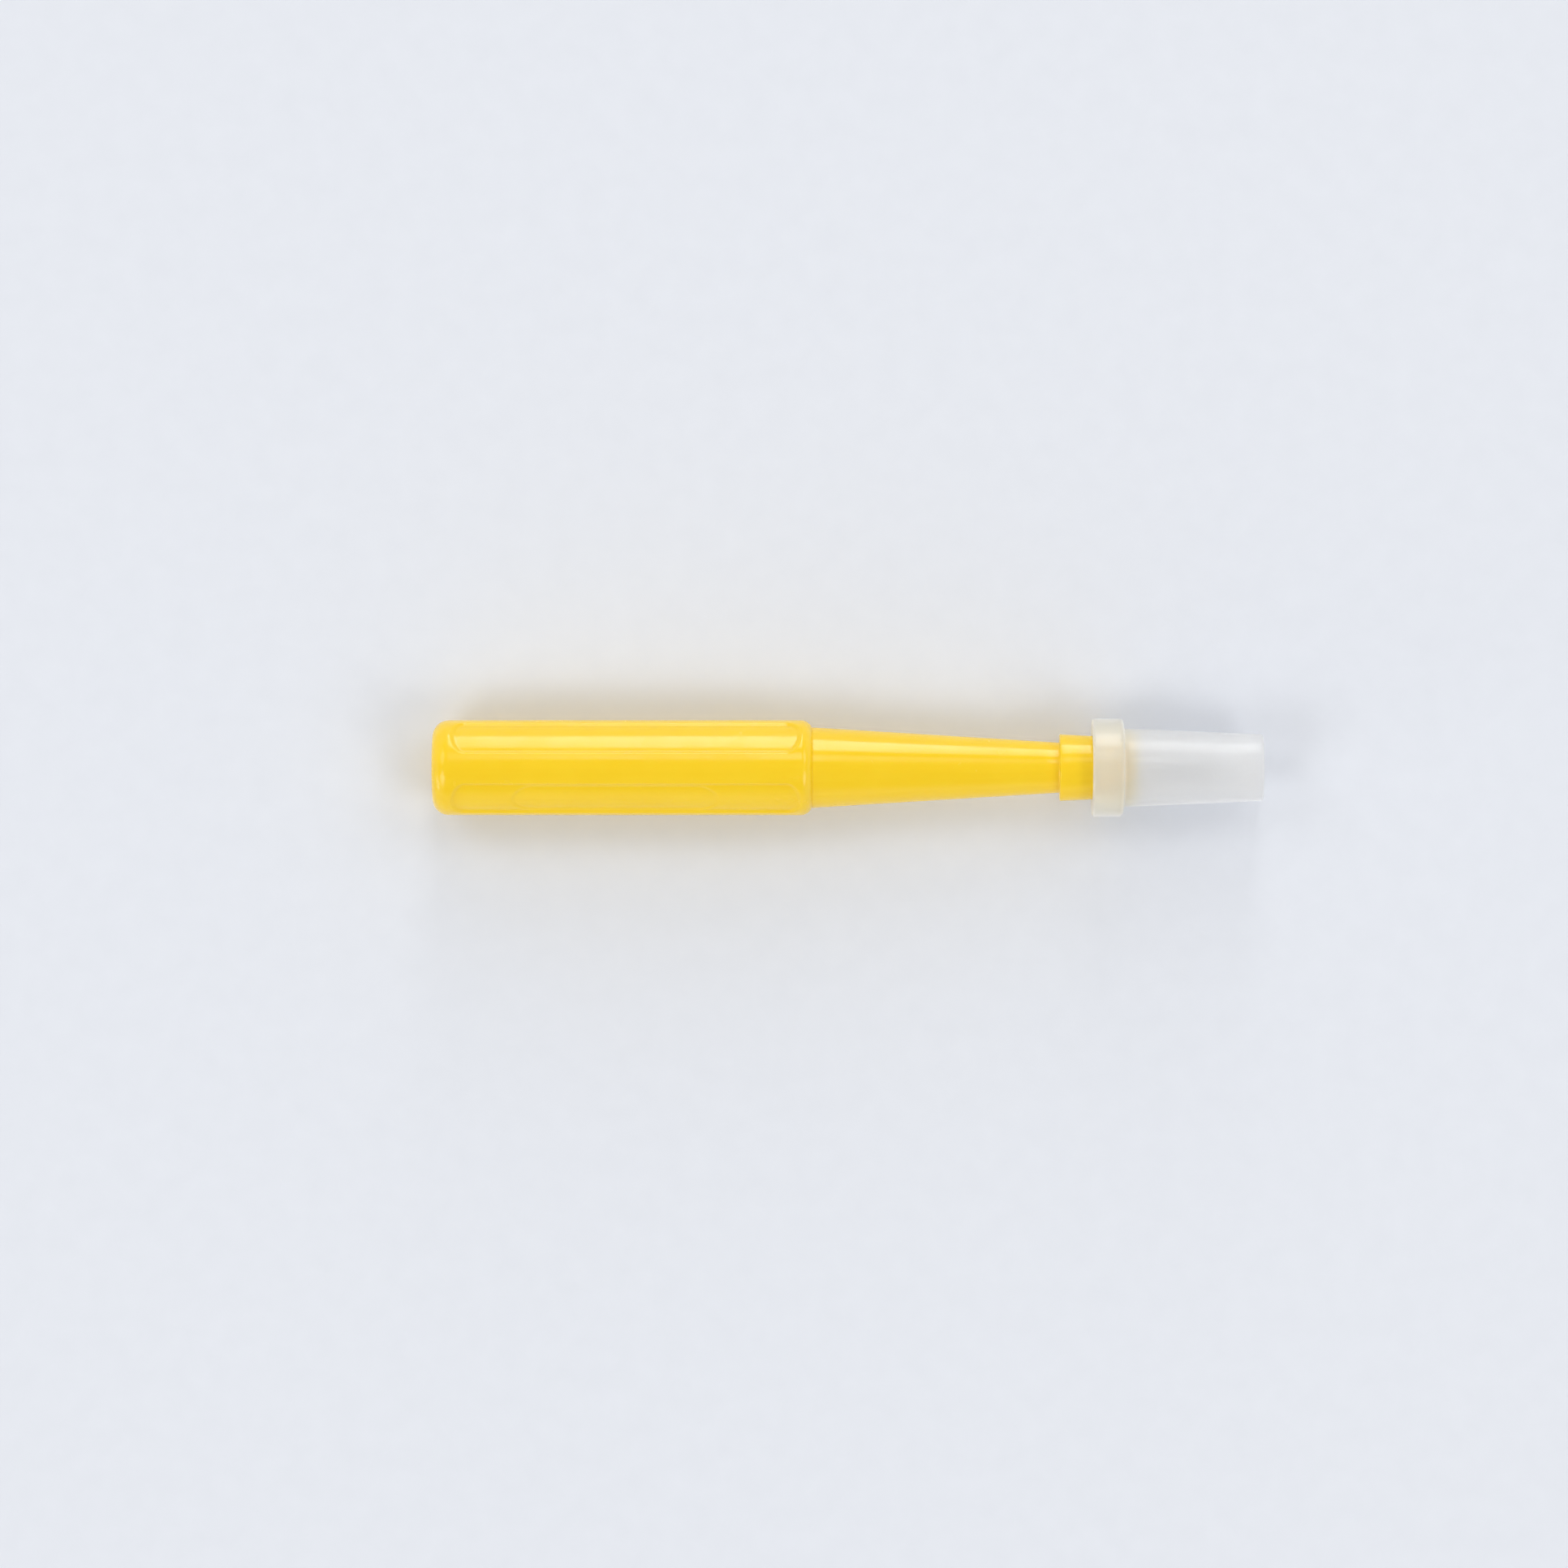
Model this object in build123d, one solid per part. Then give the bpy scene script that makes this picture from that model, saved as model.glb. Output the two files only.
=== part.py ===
from build123d import *
import math
import os

os.makedirs("parts", exist_ok=True)

# A hand-held skin biopsy punch with its push-on blade guard.
# Lengths are in millimetres. The punch is modelled along X, with its rear face at X = 0
# and its axis on the X axis, and is laid on the floor at the end.

# Handle: one yellow moulding of grip, tapered neck and hub
grip_length = 46.4
grip_radius = 5.81
rear_edge_round = 2.0
shoulder_length = 1.3
neck_length = 30.3
neck_rear_radius = 4.93
neck_front_radius = 3.07
hub_length = 9.3
hub_bare_length = 4.0
hub_rear_radius = 4.09
hub_taper_degrees = 2.8
hub_edge_bevel = 0.12

# Long finger panels sunk round the grip
panel_count = 4
panel_rear_margin = 2.5
panel_front_margin = 1.5
panel_width = 4.9
panel_end_length = 1.6
panel_depth = 0.3

# Oval recess sunk again into one panel, left bare
label_rear_margin = 9.9
label_length = 25.0
label_width = 4.3
label_end_length = 2.6
label_depth = 0.15

# The whole grip is rolled about its axis by this much as it lies
grip_roll_degrees = 46.0

# Cutting tube: seamless stainless steel, bevelled on the outside at its edge
bore_radius = 1.5
tube_wall = 0.25
tube_exposed_length = 10.0
tube_socket_depth = 10.0
bevel_length = 1.2
cutting_edge_land = 0.03
socket_gap = 0.02

# Cap: translucent guard that pushes onto the tapered hub
cap_fit_gap = 0.03
cap_wall = 1.06
cap_end_wall = 1.0
cap_draft_degrees = 2.44
cap_tip_room = 4.6
flange_length = 3.8
flange_radius = 6.0
flange_edge_round = 0.5
flange_rear_bevel = 0.3
cap_end_bevel = 0.2
cap_inner_bevel = 0.3
cap_mouth_bevel = 0.25

# How far a cutting body runs past the surface that it cuts
overrun = 1.0

# Places along the axis
neck_start = grip_length
hub_start = neck_start + neck_length
hub_end = hub_start + hub_length
tube_start = hub_end - tube_socket_depth
tube_end = hub_end + tube_exposed_length
cap_mouth = hub_start + hub_bare_length
flange_end = cap_mouth + flange_length
cap_inner_end = tube_end + cap_tip_room
cap_end = cap_inner_end + cap_end_wall

# Sizes that follow from the ones above
tube_radius = bore_radius + tube_wall
panel_length = grip_length - panel_rear_margin - panel_front_margin
axis_height = max(flange_radius, grip_radius)


def hub_radius_at(x):
    """Radius of the hub's cone at a place along the axis."""
    return hub_rear_radius - (x - hub_start) * math.tan(math.radians(hub_taper_degrees))


def seat_radius_at(x):
    """Radius of the cap's bore where it grips the hub."""
    return hub_radius_at(x) + cap_fit_gap


def cap_outer_radius_at(x):
    """Outer radius of the cap's drafted tube, ahead of its flange."""
    root_radius = seat_radius_at(flange_end) + cap_wall
    return root_radius - (x - flange_end) * math.tan(math.radians(cap_draft_degrees))


def rounded(outline, corner, radius):
    """The outline with the corner nearest to a given point rounded."""
    vertex = outline.vertices().sort_by_distance(corner)[0]
    return fillet(vertex, radius)


def bevelled(outline, corner, length):
    """The outline with the corner nearest to a given point cut off."""
    vertex = outline.vertices().sort_by_distance(corner)[0]
    return chamfer(vertex, length)


def turned(outline):
    """Solid of revolution about the punch's axis from a half outline."""
    return revolve(outline, Axis.X)


def handle_blank():
    """Plain turned form of the moulding: grip, rounded shoulder, tapered neck, stepped hub."""
    rear_corner = (0, grip_radius)
    neck_corner = (hub_start, neck_front_radius)
    hub_rear_edge = (hub_start, hub_rear_radius)
    hub_front_edge = (hub_end, hub_radius_at(hub_end))
    rear_face = Line((0, 0), rear_corner)
    grip = Line(rear_corner, (grip_length - shoulder_length, grip_radius))
    shoulder = TangentArc(grip @ 1, (neck_start, neck_rear_radius), tangent=grip % 1)
    front = Polyline(shoulder @ 1, neck_corner, hub_rear_edge, hub_front_edge, (hub_end, 0), (0, 0))
    outline = make_face(rear_face + grip + shoulder + front)
    outline = rounded(outline, rear_corner, rear_edge_round)
    outline = bevelled(outline, hub_rear_edge, hub_edge_bevel)
    outline = bevelled(outline, hub_front_edge, hub_edge_bevel)
    return turned(outline)


def oval_cutter(rear_margin, length, width, end_length, floor_radius):
    """Block with half-ellipse ends on top of the grip, hollowed to leave a round floor."""
    middle = rear_margin + length / 2
    end_offset = length / 2 - end_length
    oval = Rectangle(2 * end_offset, width)
    for side in (-1, 1):
        oval += Pos(side * end_offset, 0) * Ellipse(end_length, width / 2)
    block = extrude(Pos(middle, 0, 0) * oval, amount=grip_radius + overrun)
    core = Pos(middle, 0, 0) * Rot(0, 90, 0) * Cylinder(floor_radius, length + overrun)
    return block - core


def handle():
    """The moulding with its sunk panels, its bare label recess and the blind socket for the tube."""
    panel_floor_radius = grip_radius - panel_depth
    label_floor_radius = panel_floor_radius - label_depth
    panel = oval_cutter(
        panel_rear_margin, panel_length, panel_width, panel_end_length, panel_floor_radius
    )
    body = handle_blank()
    for number in range(panel_count):
        body -= Rot(number * 360 / panel_count, 0, 0) * panel
    body -= oval_cutter(
        label_rear_margin, label_length, label_width, label_end_length, label_floor_radius
    )
    socket = Cylinder(tube_radius + socket_gap, tube_socket_depth + overrun)
    socket_middle = tube_start + (tube_socket_depth + overrun) / 2
    body -= Pos(socket_middle, 0, 0) * Rot(0, 90, 0) * socket
    return Rot(grip_roll_degrees, 0, 0) * body


def cutting_tube():
    """Open steel tube whose outside is ground down to a thin round cutting edge."""
    outline = Polyline(
        (tube_start, bore_radius),
        (tube_start, tube_radius),
        (tube_end - bevel_length, tube_radius),
        (tube_end, bore_radius + cutting_edge_land),
        (tube_end, bore_radius),
        close=True,
    )
    return turned(make_face(outline))


def cap():
    """Closed-end guard: gripping flange round the mouth, then a thin drafted tube over the blade."""
    mouth_edge = (cap_mouth, seat_radius_at(cap_mouth))
    flange_rear_edge = (cap_mouth, flange_radius)
    flange_front_edge = (flange_end, flange_radius)
    flange_corner = (flange_end, cap_outer_radius_at(flange_end))
    end_edge = (cap_end, cap_outer_radius_at(cap_end))
    inner_corner = (cap_inner_end, cap_outer_radius_at(cap_inner_end) - cap_wall)
    seat_end = (hub_end, max(cap_outer_radius_at(hub_end) - cap_wall, seat_radius_at(hub_end)))
    outline = Polyline(
        mouth_edge,
        flange_rear_edge,
        flange_front_edge,
        flange_corner,
        end_edge,
        (cap_end, 0),
        (cap_inner_end, 0),
        inner_corner,
        seat_end,
        close=True,
    )
    outline = make_face(outline)
    outline = rounded(outline, flange_front_edge, flange_edge_round)
    outline = bevelled(outline, flange_rear_edge, flange_rear_bevel)
    outline = bevelled(outline, mouth_edge, cap_mouth_bevel)
    outline = bevelled(outline, end_edge, cap_end_bevel)
    outline = bevelled(outline, inner_corner, cap_inner_bevel)
    return turned(outline)


def laid_down(shape):
    """The shape with the punch's middle over the origin and its widest ring on the floor."""
    return Pos(-cap_end / 2, 0, axis_height) * shape


pieces = {"handle": handle(), "cutting_tube": cutting_tube(), "cap": cap()}
for name, shape in pieces.items():
    export_step(laid_down(shape), f"parts/{name}.step")
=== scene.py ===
import math

import bmesh
import bpy
from mathutils import Matrix, Vector


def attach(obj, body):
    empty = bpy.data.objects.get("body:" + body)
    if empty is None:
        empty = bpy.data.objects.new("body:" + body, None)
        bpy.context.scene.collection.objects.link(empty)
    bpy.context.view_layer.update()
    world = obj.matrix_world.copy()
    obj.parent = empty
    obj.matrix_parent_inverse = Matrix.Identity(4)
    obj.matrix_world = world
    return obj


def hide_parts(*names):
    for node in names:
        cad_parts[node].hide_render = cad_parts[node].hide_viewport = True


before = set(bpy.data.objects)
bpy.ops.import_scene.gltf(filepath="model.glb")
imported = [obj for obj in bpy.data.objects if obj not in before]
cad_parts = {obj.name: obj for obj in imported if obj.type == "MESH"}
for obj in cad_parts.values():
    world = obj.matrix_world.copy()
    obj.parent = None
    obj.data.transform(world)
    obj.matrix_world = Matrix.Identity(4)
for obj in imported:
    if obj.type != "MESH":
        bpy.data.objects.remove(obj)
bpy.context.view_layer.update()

# A skin biopsy punch lying on a pale table with its frosted cap on.
# Lengths are in metres, in the frame of the CAD model. Places along the punch are
# measured from its rear face, and its axis runs along +X above the table.
REAR_FACE = -0.0508
AXIS_HEIGHT = 0.006

# Yellow moulding. The shoulder's round joins two lines that meet at its corner
GRIP_LENGTH = 0.0464
GRIP_RADIUS = 0.00581
REAR_EDGE_ROUND = 0.0020
SHOULDER_CORNER = 0.046048
SHOULDER_ROUND = 0.00094
NECK_REAR_RADIUS = 0.00493
NECK_FRONT_RADIUS = 0.00307
HUB_START = 0.0767
HUB_END = 0.0860
HUB_REAR_RADIUS = 0.00409
HUB_FRONT_RADIUS = 0.003635
HUB_EDGE_ROUND = 0.00012
INNER_CORNER_ROUND = 0.00018
SOCKET_START = 0.0760
SOCKET_RADIUS = 0.00177
SOCKET_MOUTH_ROUND = 0.00008

# Dimple with a torn nub in it, left in the rear face by the mould's gate
GATE_RADIUS = 0.0013
GATE_DEPTH = 0.0003
GATE_NUB_RADIUS = 0.00035
GATE_NUB_HEIGHT = 0.00018
GATE_EDGE_ROUND = 0.0001

# Long finger panels sunk round the grip, with their rims softened over a width
PANEL_COUNT = 4
PANEL_START = 0.0025
PANEL_END = 0.0449
PANEL_WIDTH = 0.0049
PANEL_END_LENGTH = 0.0016
PANEL_DEPTH = 0.0003
PANEL_RIM_WIDTH = 0.00034
GRIP_ROLL_DEGREES = 46.0

# Bare oval recess sunk again into one panel
LABEL_START = 0.0099
LABEL_END = 0.0349
LABEL_WIDTH = 0.0043
LABEL_END_LENGTH = 0.0026
LABEL_DEPTH = 0.00015
LABEL_RIM_WIDTH = 0.0002

# Fine ridge where the two halves of the mould met
MOULD_LINE_DEGREES = (91.25, 271.25)
MOULD_LINE_HEIGHT = 0.000018
MOULD_LINE_WIDTH = 0.00013

# Steel tube
TUBE_START = 0.0760
TUBE_END = 0.0960
BORE_RADIUS = 0.0015
TUBE_RADIUS = 0.00175
BEVEL_START = 0.0948
BEVEL_BLEND = 0.00005
EDGE_RADIUS = 0.00153
TUBE_EDGE_ROUND = 0.00006

# Cap
CAP_MOUTH = 0.0807
FLANGE_END = 0.0845
CAP_INNER_END = 0.1006
CAP_END = 0.1016
FLANGE_RADIUS = 0.006
CAP_ROOT_RADIUS = 0.0047985
CAP_END_RADIUS = 0.0040698
MOUTH_RADIUS = 0.0039244
SEAT_END_RADIUS = 0.0036746
CAP_INNER_END_RADIUS = 0.0030525
FLANGE_FRONT_ROUND = 0.0005
FLANGE_REAR_ROUND = 0.0003
FLANGE_ROOT_ROUND = 0.0003
CAP_END_ROUND = 0.00025
CAP_MOUTH_ROUND = 0.00022
CAP_INNER_ROUND = 0.0003
# Places where the painted warm glow of the yellow hub, seen through the cap's wall, fades out
# ahead of the flange
HUB_GLOW_FADE_START = FLANGE_END + 0.0002
HUB_GLOW_FADE_END = FLANGE_END + 0.0028

# Fineness of the turned meshes
HANDLE_STEPS = 288
GRIP_RING_SPACING = 0.0002
HANDLE_RING_SPACING = 0.0015
CAP_STEPS = 192
CAP_RING_SPACING = 0.0005
TUBE_STEPS = 96
TUBE_RING_SPACING = 0.001
MERGE_DISTANCE = 0.000001

# Pairs of colours that a surface varies between, and the colours of specks in it
YELLOW = ((0.95, 0.62, 0.006), (0.975, 0.65, 0.012))
YELLOW_SPECK = (0.30, 0.17, 0.03)
CAP_THIN = ((0.97, 0.975, 0.98), (0.99, 0.99, 0.99))
# Painted warm glow of the yellow hub seen through the cap's wall, used at the flange and just
# ahead of it
CAP_PAINTED_HUB_GLOW = ((0.99, 0.945, 0.78), (0.995, 0.965, 0.83))
CAP_SPECK = (0.35, 0.33, 0.30)
STEEL = ((0.50, 0.51, 0.53), (0.72, 0.73, 0.75))
TABLE = ((0.76, 0.785, 0.84), (0.80, 0.825, 0.88))

# Ranges of roughness, and how much a patch of haze adds to it
YELLOW_ROUGHNESS = (0.13, 0.19)
YELLOW_HAZE = 0.10
CAP_ROUGHNESS = (0.56, 0.62)
CAP_HAZE = 0.08
STEEL_ROUGHNESS = (0.2, 0.34)
TABLE_ROUGHNESS = (0.7, 0.8)

# Heights of the fine relief
WAVE_HEIGHT = 0.00003
YELLOW_GRAIN_HEIGHT = 0.0000012
YELLOW_STREAK_HEIGHT = 0.0000015
CAP_GRAIN_HEIGHT = 0.000003
STEEL_LINE_HEIGHT = 0.000002

# Features per metre of each pattern, or per metre along X, Y and Z
WAVES = 110.0
GRAIN = 3200.0
HAZE_PATCHES = 260.0
TONE_PATCHES = 160.0
FROST = 900.0
TABLE_PATCHES = 300.0
YELLOW_SPECKS = 240.0
CAP_SPECKS = 260.0
FLOW_STREAKS = (25.0, 900.0, 900.0)
DRAWING_LINES = (60.0, 9000.0, 9000.0)
GRINDING_LINES = (16000.0, 500.0, 500.0)

# Size of a speck in its cell, and the share of the cells that have one
SPECK_SIZE = 0.016
SPECK_SHARE = 0.16

# Where most values of a noise lie, nearly all of them, and those that make haze
NOISE_MIDDLE = (0.3, 0.7)
NOISE_SPAN = (0.2, 0.8)
HAZE_SPAN = (0.42, 0.72)

# How much the patches and the streaks each change the yellow
PATCH_SHARE = (0.0, 0.6)
STREAK_SHARE = (0.0, 0.4)

# Camera and table
FRAME_WIDTH = 0.1919
FRAME_CENTRE = (-0.0078, -0.0020)
CAMERA_DISTANCE = 1.0
SENSOR_WIDTH = 36.0
NEAREST_SEEN = 0.01
FARTHEST_SEEN = 20.0
TABLE_HALF_WIDTH = 6.0

# Lamps, each with its place, the point that it faces, its size and its radiance
LAMPS = {
    "window": ((0.11, 2.0, 0.85), (0.0, 0.0, 0.85), (0.52, 1.5), 4.6),
    "window_top": ((0.08, 0.95, 1.78), (0.0, 0.0, 0.0), (0.4, 0.6), 2.3),
    "rear_glint": ((-1.8, -0.84, 0.28), (0.0, 0.0, 0.0), (0.7, 0.5), 3.0),
}
SOFT_BOX_PLACE = (1.16, 0.81, 1.41)
SOFT_BOX_SIZE = (0.9, 0.9)
NEAR_BOX_RADIANCE = 3.1
FAR_BOX_RADIANCE = 1.8

# Heights in the sky, as the upward part of a direction, and the sky's level at them
SKY_HEIGHTS = (0.1, 0.6)
SKY_LEVELS = (1.0, 0.4)


def on_outline(along, radius):
    """Point of a half outline, above the axis."""
    return Vector((REAR_FACE + along, 0.0, AXIS_HEIGHT + radius))


def turned(corners, steps, spacing, closed=False):
    """Mesh turned round the punch's axis from its half outline.

    Each corner is (along, radius, round, segments), and each run is divided into rings.
    """
    mesh = bmesh.new()
    points = [mesh.verts.new(on_outline(along, radius)) for along, radius, _, _ in corners]
    runs = list(zip(points, points[1:]))
    if closed:
        runs.append((points[-1], points[0]))
    for start, end in runs:
        mesh.edges.new((start, end))
    for point, (_, _, length, segments) in zip(points, corners):
        if length:
            bmesh.ops.bevel(
                mesh,
                geom=[point],
                offset=length,
                offset_type="OFFSET",
                segments=segments,
                profile=0.5,
                affect="VERTICES",
                material=-1,
            )
    for edge in list(mesh.edges):
        cuts = math.ceil(edge.calc_length() / spacing(edge)) - 1
        if cuts > 0:
            bmesh.ops.subdivide_edges(mesh, edges=[edge], cuts=cuts)
    bmesh.ops.spin(
        mesh,
        geom=mesh.verts[:] + mesh.edges[:],
        cent=(0.0, 0.0, AXIS_HEIGHT),
        axis=(1.0, 0.0, 0.0),
        dvec=(0.0, 0.0, 0.0),
        angle=math.tau,
        space=Matrix.Identity(4),
        steps=steps,
        use_merge=True,
    )
    bmesh.ops.remove_doubles(mesh, verts=mesh.verts[:], dist=MERGE_DISTANCE)
    bmesh.ops.recalc_face_normals(mesh, faces=mesh.faces[:])
    return mesh


def finished(name, mesh, body, node, material):
    """Makes a mesh a smooth piece that rides on a body and stands for a CAD node."""
    data = bpy.data.meshes.new(name)
    mesh.to_mesh(data)
    mesh.free()
    data.shade_smooth()
    piece = bpy.data.objects.new(name, data)
    bpy.context.scene.collection.objects.link(piece)
    piece.modifiers.new("even_shading", "WEIGHTED_NORMAL")
    data.materials.append(material)
    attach(piece, body)
    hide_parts(node)


def smooth_step(value):
    """Soft change from 0 to 1 as a value goes from 0 to 1."""
    value = min(max(value, 0.0), 1.0)
    return value * value * (3 - 2 * value)


def inside_oval(along, across, start, end, width, end_length):
    """How far a point lies inside a long outline with half-ellipse ends."""
    past = abs(along - (start + end) / 2) - (end - start) / 2 + end_length
    if past <= 0:
        return width / 2 - abs(across)
    lengthwise = past / end_length
    crosswise = across / (width / 2)
    share = math.hypot(lengthwise, crosswise)
    steepness = math.hypot(lengthwise / end_length, crosswise / (width / 2)) / share
    return (1 - share) / steepness


def pressed_radius(along, radius, angle):
    """Radius of the moulding after its sunk panels, its label recess and its mould line."""
    from_label = math.remainder(angle - math.radians(GRIP_ROLL_DEGREES), math.tau)
    turn = math.remainder(from_label, math.tau / PANEL_COUNT)
    across = radius * math.sin(turn)
    inside = inside_oval(
        along, across, PANEL_START, PANEL_END, PANEL_WIDTH, PANEL_END_LENGTH
    )
    sunk = PANEL_DEPTH * smooth_step(inside / PANEL_RIM_WIDTH + 0.5)
    if abs(from_label) < math.pi / PANEL_COUNT:
        inside = inside_oval(
            along, across, LABEL_START, LABEL_END, LABEL_WIDTH, LABEL_END_LENGTH
        )
        sunk += LABEL_DEPTH * smooth_step(inside / LABEL_RIM_WIDTH + 0.5)
    for degrees in MOULD_LINE_DEGREES:
        aside = abs(math.remainder(angle - math.radians(degrees), math.tau)) * radius
        sunk -= MOULD_LINE_HEIGHT * max(1 - aside / MOULD_LINE_WIDTH, 0.0)
    return radius - sunk


def press_grip(mesh):
    """Presses the panels, the label recess and the mould line into the turned moulding."""
    skin_end = HUB_START - INNER_CORNER_ROUND
    for vert in mesh.verts:
        along = vert.co.x - REAR_FACE
        height = vert.co.z - AXIS_HEIGHT
        radius = math.hypot(vert.co.y, height)
        if REAR_EDGE_ROUND < along < skin_end and radius > SOCKET_RADIUS:
            angle = math.atan2(-vert.co.y, height)
            share = pressed_radius(along, radius, angle) / radius
            vert.co.y *= share
            vert.co.z = AXIS_HEIGHT + height * share


def on_grip(edge):
    """Whether a run of the outline lies on the grip."""
    return all(vert.co.x - REAR_FACE < GRIP_LENGTH for vert in edge.verts)


def moulded_handle(material):
    """Grip, neck and hub in one yellow moulding."""
    corners = [
        (GATE_DEPTH - GATE_NUB_HEIGHT, 0.0, 0, 0),
        (GATE_DEPTH - GATE_NUB_HEIGHT, GATE_NUB_RADIUS, GATE_EDGE_ROUND, 3),
        (GATE_DEPTH, GATE_NUB_RADIUS, 0, 0),
        (GATE_DEPTH, GATE_RADIUS - GATE_DEPTH, GATE_EDGE_ROUND, 3),
        (0.0, GATE_RADIUS, GATE_EDGE_ROUND, 3),
        (0.0, GRIP_RADIUS, REAR_EDGE_ROUND, 16),
        (SHOULDER_CORNER, GRIP_RADIUS, SHOULDER_ROUND, 12),
        (GRIP_LENGTH, NECK_REAR_RADIUS, INNER_CORNER_ROUND, 3),
        (HUB_START, NECK_FRONT_RADIUS, INNER_CORNER_ROUND, 3),
        (HUB_START, HUB_REAR_RADIUS, HUB_EDGE_ROUND, 3),
        (HUB_END, HUB_FRONT_RADIUS, HUB_EDGE_ROUND, 3),
        (HUB_END, SOCKET_RADIUS, SOCKET_MOUTH_ROUND, 2),
        (SOCKET_START, SOCKET_RADIUS, 0, 0),
        (SOCKET_START, 0.0, 0, 0),
    ]

    def spacing(edge):
        return GRIP_RING_SPACING if on_grip(edge) else HANDLE_RING_SPACING

    mesh = turned(corners, HANDLE_STEPS, spacing)
    press_grip(mesh)
    finished("moulded_handle", mesh, "punch", "handle", material)


def ground_tube(material):
    """Drawn tube with its ground cutting edge."""
    corners = [
        (TUBE_START, BORE_RADIUS, 0, 0),
        (TUBE_START, TUBE_RADIUS, TUBE_EDGE_ROUND, 2),
        (BEVEL_START, TUBE_RADIUS, TUBE_EDGE_ROUND, 2),
        (TUBE_END, EDGE_RADIUS, 0, 0),
        (TUBE_END, BORE_RADIUS, 0, 0),
    ]
    mesh = turned(corners, TUBE_STEPS, lambda edge: TUBE_RING_SPACING, closed=True)
    finished("ground_tube", mesh, "punch", "cutting_tube", material)


def frosted_cap(material):
    """Closed cap with its gripping flange."""
    corners = [
        (CAP_END, 0.0, 0, 0),
        (CAP_END, CAP_END_RADIUS, CAP_END_ROUND, 5),
        (FLANGE_END, CAP_ROOT_RADIUS, FLANGE_ROOT_ROUND, 4),
        (FLANGE_END, FLANGE_RADIUS, FLANGE_FRONT_ROUND, 8),
        (CAP_MOUTH, FLANGE_RADIUS, FLANGE_REAR_ROUND, 6),
        (CAP_MOUTH, MOUTH_RADIUS, CAP_MOUTH_ROUND, 4),
        (HUB_END, SEAT_END_RADIUS, 0, 0),
        (CAP_INNER_END, CAP_INNER_END_RADIUS, CAP_INNER_ROUND, 4),
        (CAP_INNER_END, 0.0, 0, 0),
    ]
    mesh = turned(corners, CAP_STEPS, lambda edge: CAP_RING_SPACING)
    finished("frosted_cap", mesh, "guard", "cap", material)


def add_node(tree, kind, values=None, **settings):
    """Node of one kind with its settings and the values of its inputs."""
    node = tree.nodes.new(kind)
    for name, value in settings.items():
        setattr(node, name, value)
    for name, value in (values or {}).items():
        node.inputs[name].default_value = value
    return node


def new_group(name, inputs, outputs):
    """Empty node group with float inputs and outputs, and its two end nodes."""
    group = bpy.data.node_groups.new(name, "ShaderNodeTree")
    group.interface.new_socket("Vector", in_out="INPUT", socket_type="NodeSocketVector")
    for label in inputs:
        group.interface.new_socket(label, in_out="INPUT", socket_type="NodeSocketFloat")
    for label in outputs:
        group.interface.new_socket(label, in_out="OUTPUT", socket_type="NodeSocketFloat")
    return group, add_node(group, "NodeGroupInput"), add_node(group, "NodeGroupOutput")


def combined(tree, operation, first, second):
    """Result of a calculation with two sockets."""
    node = add_node(tree, "ShaderNodeMath", operation=operation)
    tree.links.new(first, node.inputs[0])
    tree.links.new(second, node.inputs[1])
    return node.outputs[0]


def times(tree, first, second):
    """Product of two sockets."""
    return combined(tree, "MULTIPLY", first, second)


def plus(tree, first, second):
    """Sum of two sockets."""
    return combined(tree, "ADD", first, second)


def noise(tree, vector, scale, detail, roughness=0.5, distortion=0.0):
    """Noise value from 0 to 1 at a scale in features per metre."""
    values = {"Scale": scale, "Detail": detail, "Roughness": roughness, "Distortion": distortion}
    node = add_node(tree, "ShaderNodeTexNoise", values)
    tree.links.new(vector, node.inputs["Vector"])
    return node.outputs["Fac"]


def ranged(tree, value, given, made=(0.0, 1.0)):
    """Value mapped smoothly from one range to another."""
    values = {"From Min": given[0], "From Max": given[1], "To Min": made[0], "To Max": made[1]}
    node = add_node(tree, "ShaderNodeMapRange", values, interpolation_type="SMOOTHSTEP")
    tree.links.new(value, node.inputs["Value"])
    return node.outputs["Result"]


def moulded_skin_group():
    """Skin of moulded plastic: slow waves, a fine grain and patches of haze."""
    group, given, made = new_group(
        "moulded_skin", ("Wave Height", "Grain Height", "Haze"), ("Height", "Roughness", "Tone")
    )
    vector = given.outputs["Vector"]
    waves = noise(group, vector, WAVES, 1.0)
    grain = noise(group, vector, GRAIN, 2.0, roughness=0.6)
    haze = noise(group, vector, HAZE_PATCHES, 4.0, roughness=0.6, distortion=0.8)
    patches = ranged(group, haze, HAZE_SPAN)
    height = plus(
        group,
        times(group, waves, given.outputs["Wave Height"]),
        times(group, grain, given.outputs["Grain Height"]),
    )
    group.links.new(height, made.inputs["Height"])
    group.links.new(times(group, patches, given.outputs["Haze"]), made.inputs["Roughness"])
    group.links.new(noise(group, vector, TONE_PATCHES, 3.0), made.inputs["Tone"])
    return group


def specks_group():
    """Tiny specks scattered in the plastic, as a mask."""
    group, given, made = new_group("specks", ("Cells", "Size"), ("Mask",))
    cells = add_node(group, "ShaderNodeTexVoronoi", feature="F1")
    group.links.new(given.outputs["Vector"], cells.inputs["Vector"])
    group.links.new(given.outputs["Cells"], cells.inputs["Scale"])
    near = combined(group, "LESS_THAN", cells.outputs["Distance"], given.outputs["Size"])
    parts = add_node(group, "ShaderNodeSeparateColor")
    group.links.new(cells.outputs["Color"], parts.inputs["Color"])
    few = add_node(group, "ShaderNodeMath", {1: SPECK_SHARE}, operation="LESS_THAN")
    group.links.new(parts.outputs["Red"], few.inputs[0])
    group.links.new(times(group, near, few.outputs[0]), made.inputs["Mask"])
    return group


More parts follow.
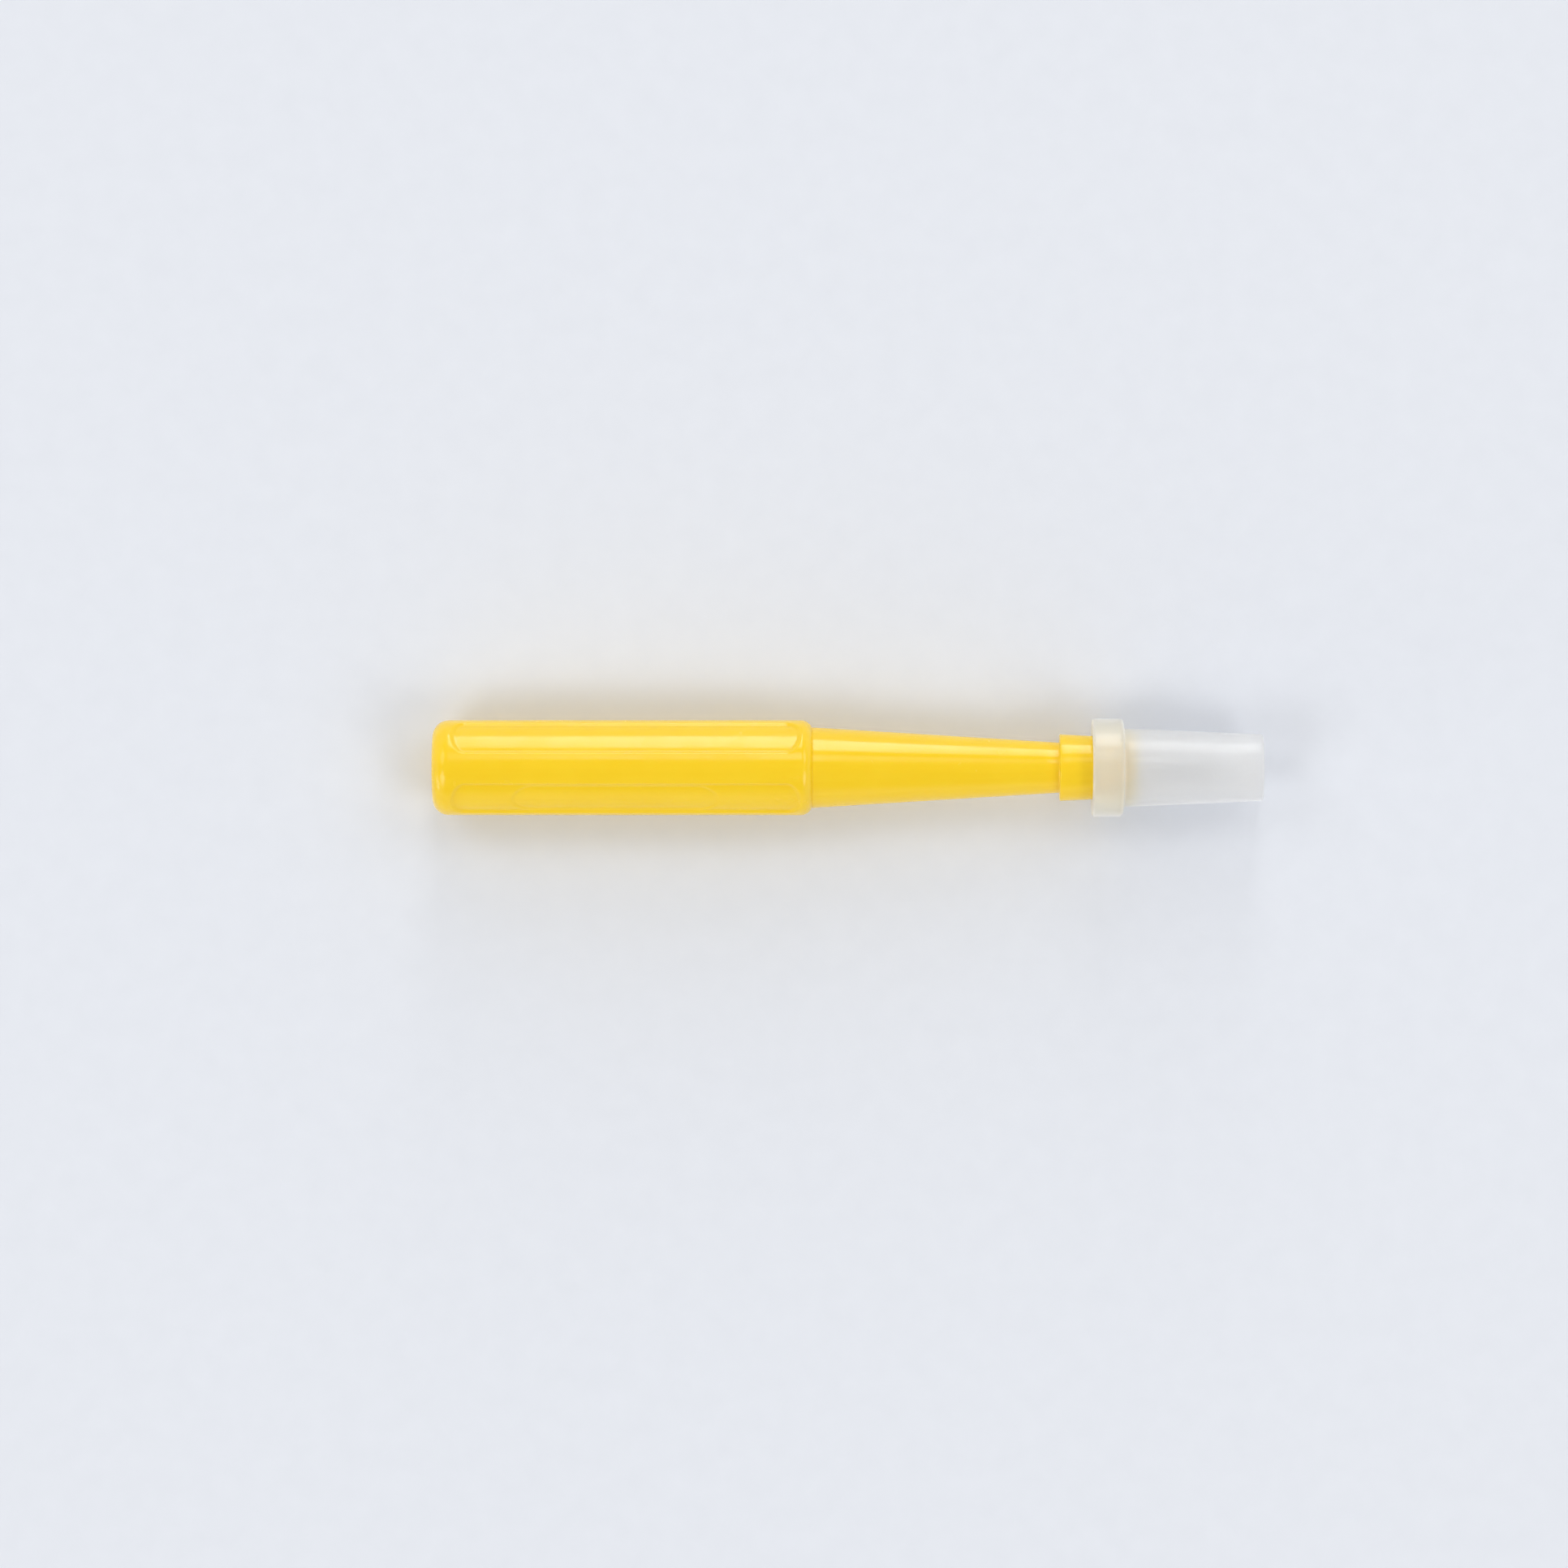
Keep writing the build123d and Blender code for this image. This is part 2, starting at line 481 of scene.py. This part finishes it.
def new_material(name, finish):
    """Material with one Principled shader, its fixed values set on the shader's own sockets."""
    material = bpy.data.materials.new(name)
    material.use_nodes = True
    shader = material.node_tree.nodes["Principled BSDF"]
    for label, value in finish.items():
        shader.inputs[label].default_value = value
    return material, material.node_tree, shader


def object_place(tree, scale=(1.0, 1.0, 1.0)):
    """Object coordinates, stretched along the axes."""
    place = add_node(tree, "ShaderNodeTexCoord")
    stretch = add_node(tree, "ShaderNodeMapping", {"Scale": scale})
    tree.links.new(place.outputs["Object"], stretch.inputs["Vector"])
    return stretch.outputs["Vector"]


def along_mask(tree, start, end, made=(0.0, 1.0)):
    """Value that changes between two places along the punch."""
    parts = add_node(tree, "ShaderNodeSeparateXYZ")
    tree.links.new(object_place(tree), parts.inputs["Vector"])
    return ranged(tree, parts.outputs["X"], (REAR_FACE + start, REAR_FACE + end), made)


def use_group(tree, group, vector, values):
    """A group placed in a material with its own values."""
    node = add_node(tree, "ShaderNodeGroup", node_tree=group)
    tree.links.new(vector, node.inputs["Vector"])
    for label, value in values.items():
        node.inputs[label].default_value = value
    return node.outputs


def bumped(tree, shader, height):
    """Height in metres laid on the surface as bump."""
    bump = add_node(tree, "ShaderNodeBump", {"Strength": 1.0, "Distance": 1.0})
    tree.links.new(height, bump.inputs["Height"])
    tree.links.new(bump.outputs["Normal"], shader.inputs["Normal"])


def blended(tree, share, first, second):
    """Mix of two colours, each of them a colour or a colour socket."""
    node = add_node(tree, "ShaderNodeMix", data_type="RGBA")
    tree.links.new(share, node.inputs[0])
    for socket, colour in ((node.inputs[6], first), (node.inputs[7], second)):
        if isinstance(colour, bpy.types.NodeSocket):
            tree.links.new(colour, socket)
        else:
            socket.default_value = (*colour, 1.0)
    return node.outputs[2]


def yellow_plastic(skin, specks):
    """Glossy yellow moulding compound."""
    material, tree, shader = new_material(
        "yellow_plastic",
        {
            "Subsurface Weight": 0.12,
            "Subsurface Scale": 0.0008,
            "Subsurface Radius": (1.0, 0.6, 0.1),
            "IOR": 1.5,
        },
    )
    vector = object_place(tree)
    skin_out = use_group(
        tree,
        skin,
        vector,
        {"Wave Height": WAVE_HEIGHT, "Grain Height": YELLOW_GRAIN_HEIGHT, "Haze": YELLOW_HAZE},
    )
    streaks = noise(tree, object_place(tree, FLOW_STREAKS), 1.0, 3.0)
    patches = ranged(tree, skin_out["Tone"], NOISE_MIDDLE, PATCH_SHARE)
    tone = plus(tree, patches, ranged(tree, streaks, NOISE_MIDDLE, STREAK_SHARE))
    dots = use_group(tree, specks, vector, {"Cells": YELLOW_SPECKS, "Size": SPECK_SIZE})
    colour = blended(tree, dots["Mask"], blended(tree, tone, *YELLOW), YELLOW_SPECK)
    tree.links.new(colour, shader.inputs["Base Color"])
    base = ranged(tree, streaks, NOISE_MIDDLE, YELLOW_ROUGHNESS)
    tree.links.new(plus(tree, base, skin_out["Roughness"]), shader.inputs["Roughness"])
    relief = ranged(tree, streaks, NOISE_SPAN, (0.0, YELLOW_STREAK_HEIGHT))
    bumped(tree, shader, plus(tree, skin_out["Height"], relief))
    return material


def frosted_plastic(skin, specks):
    """Frosted, milky natural plastic of the cap, with the yellow hub's glow through its wall
    painted in as a warm tint at its flange and just ahead of it.
    """
    material, tree, shader = new_material(
        "frosted_plastic",
        {
            "Transmission Weight": 0.6,
            "IOR": 1.36,
            "Sheen Weight": 1.0,
            "Sheen Roughness": 0.5,
            "Coat Weight": 0.9,
            "Coat Roughness": 0.25,
        },
    )
    vector = object_place(tree)
    skin_out = use_group(
        tree,
        skin,
        vector,
        {"Wave Height": WAVE_HEIGHT, "Grain Height": CAP_GRAIN_HEIGHT, "Haze": CAP_HAZE},
    )
    tone = ranged(tree, skin_out["Tone"], NOISE_MIDDLE)
    # Painted glow of the yellow hub through the wall: full over the flange, fading out just
    # ahead of it
    painted_hub_glow = along_mask(tree, HUB_GLOW_FADE_START, HUB_GLOW_FADE_END, (1.0, 0.0))
    colour = blended(tree, painted_hub_glow, blended(tree, tone, *CAP_THIN), blended(tree, tone, *CAP_PAINTED_HUB_GLOW))
    dots = use_group(tree, specks, vector, {"Cells": CAP_SPECKS, "Size": SPECK_SIZE})
    colour = blended(tree, dots["Mask"], colour, CAP_SPECK)
    tree.links.new(colour, shader.inputs["Base Color"])
    base = ranged(tree, noise(tree, vector, FROST, 2.0), NOISE_MIDDLE, CAP_ROUGHNESS)
    tree.links.new(plus(tree, base, skin_out["Roughness"]), shader.inputs["Roughness"])
    bumped(tree, shader, skin_out["Height"])
    return material


def drawn_steel():
    """Stainless tube with lengthwise drawing lines and a bevel ground round."""
    material, tree, shader = new_material("drawn_steel", {"Metallic": 1.0})
    lines = add_node(tree, "ShaderNodeMix", data_type="FLOAT")
    bevel = along_mask(tree, BEVEL_START, BEVEL_START + BEVEL_BLEND)
    tree.links.new(bevel, lines.inputs[0])
    for socket, pattern in ((lines.inputs[2], DRAWING_LINES), (lines.inputs[3], GRINDING_LINES)):
        tree.links.new(noise(tree, object_place(tree, pattern), 1.0, 3.0), socket)
    line_value = lines.outputs[0]
    colour = blended(tree, ranged(tree, line_value, NOISE_MIDDLE), *STEEL)
    roughness = ranged(tree, line_value, NOISE_MIDDLE, STEEL_ROUGHNESS)
    tree.links.new(colour, shader.inputs["Base Color"])
    tree.links.new(roughness, shader.inputs["Roughness"])
    bumped(tree, shader, ranged(tree, line_value, NOISE_SPAN, (0.0, STEEL_LINE_HEIGHT)))
    return material


def table_top():
    """Pale matt table."""
    material, tree, shader = new_material("pale_table", {"Specular IOR Level": 0.2})
    tone = noise(tree, object_place(tree), TABLE_PATCHES, 4.0)
    roughness = ranged(tree, tone, NOISE_MIDDLE, TABLE_ROUGHNESS)
    tree.links.new(blended(tree, tone, *TABLE), shader.inputs["Base Color"])
    tree.links.new(roughness, shader.inputs["Roughness"])
    return material


def table(material):
    """Table that the punch lies on."""
    mesh = bmesh.new()
    bmesh.ops.create_grid(mesh, x_segments=1, y_segments=1, size=TABLE_HALF_WIDTH)
    data = bpy.data.meshes.new("table")
    mesh.to_mesh(data)
    mesh.free()
    data.materials.append(material)
    top = bpy.data.objects.new("table", data)
    bpy.context.scene.collection.objects.link(top)


def soft_lamp(name, place, target, size, radiance):
    """Large soft lamp of a plain radiance that faces a point and isn't seen by the camera."""
    light = bpy.data.lights.new(name, "AREA")
    light.shape = "RECTANGLE"
    light.size, light.size_y = size
    light.energy = radiance * math.pi * size[0] * size[1]
    lamp = bpy.data.objects.new(name, light)
    lamp.location = place
    lamp.rotation_euler = (Vector(target) - Vector(place)).to_track_quat("-Z", "Y").to_euler()
    lamp.visible_camera = False
    bpy.context.scene.collection.objects.link(lamp)


def corner_lamps():
    """Four soft boxes round the punch, the two on the near side brighter."""
    along, across, height = SOFT_BOX_PLACE
    for side, radiance in ((-1, NEAR_BOX_RADIANCE), (1, FAR_BOX_RADIANCE)):
        for end in (-1, 1):
            place = (along * end, across * side, height)
            soft_lamp("soft_box", place, (0.0, 0.0, 0.0), SOFT_BOX_SIZE, radiance)


def sky():
    """White near the horizon, dimmer overhead."""
    world = bpy.data.worlds.new("sky")
    world.use_nodes = True
    tree = world.node_tree
    place = add_node(tree, "ShaderNodeTexCoord")
    parts = add_node(tree, "ShaderNodeSeparateXYZ")
    tree.links.new(place.outputs["Generated"], parts.inputs["Vector"])
    level = ranged(tree, parts.outputs["Z"], SKY_HEIGHTS, SKY_LEVELS)
    tree.links.new(level, tree.nodes["Background"].inputs["Color"])
    bpy.context.scene.world = world


def camera():
    """Camera straight above, with +Y up in the picture."""
    data = bpy.data.cameras.new("camera")
    data.sensor_width = SENSOR_WIDTH
    data.lens = SENSOR_WIDTH * CAMERA_DISTANCE / FRAME_WIDTH
    data.clip_start = NEAREST_SEEN
    data.clip_end = FARTHEST_SEEN
    eye = bpy.data.objects.new("camera", data)
    eye.location = (*FRAME_CENTRE, AXIS_HEIGHT + CAMERA_DISTANCE)
    bpy.context.scene.collection.objects.link(eye)
    bpy.context.scene.camera = eye


skin = moulded_skin_group()
specks = specks_group()
moulded_handle(yellow_plastic(skin, specks))
ground_tube(drawn_steel())
frosted_cap(frosted_plastic(skin, specks))

table(table_top())
for name, settings in LAMPS.items():
    soft_lamp(name, *settings)
corner_lamps()
sky()
camera()
bpy.context.scene.view_settings.view_transform = "Standard"
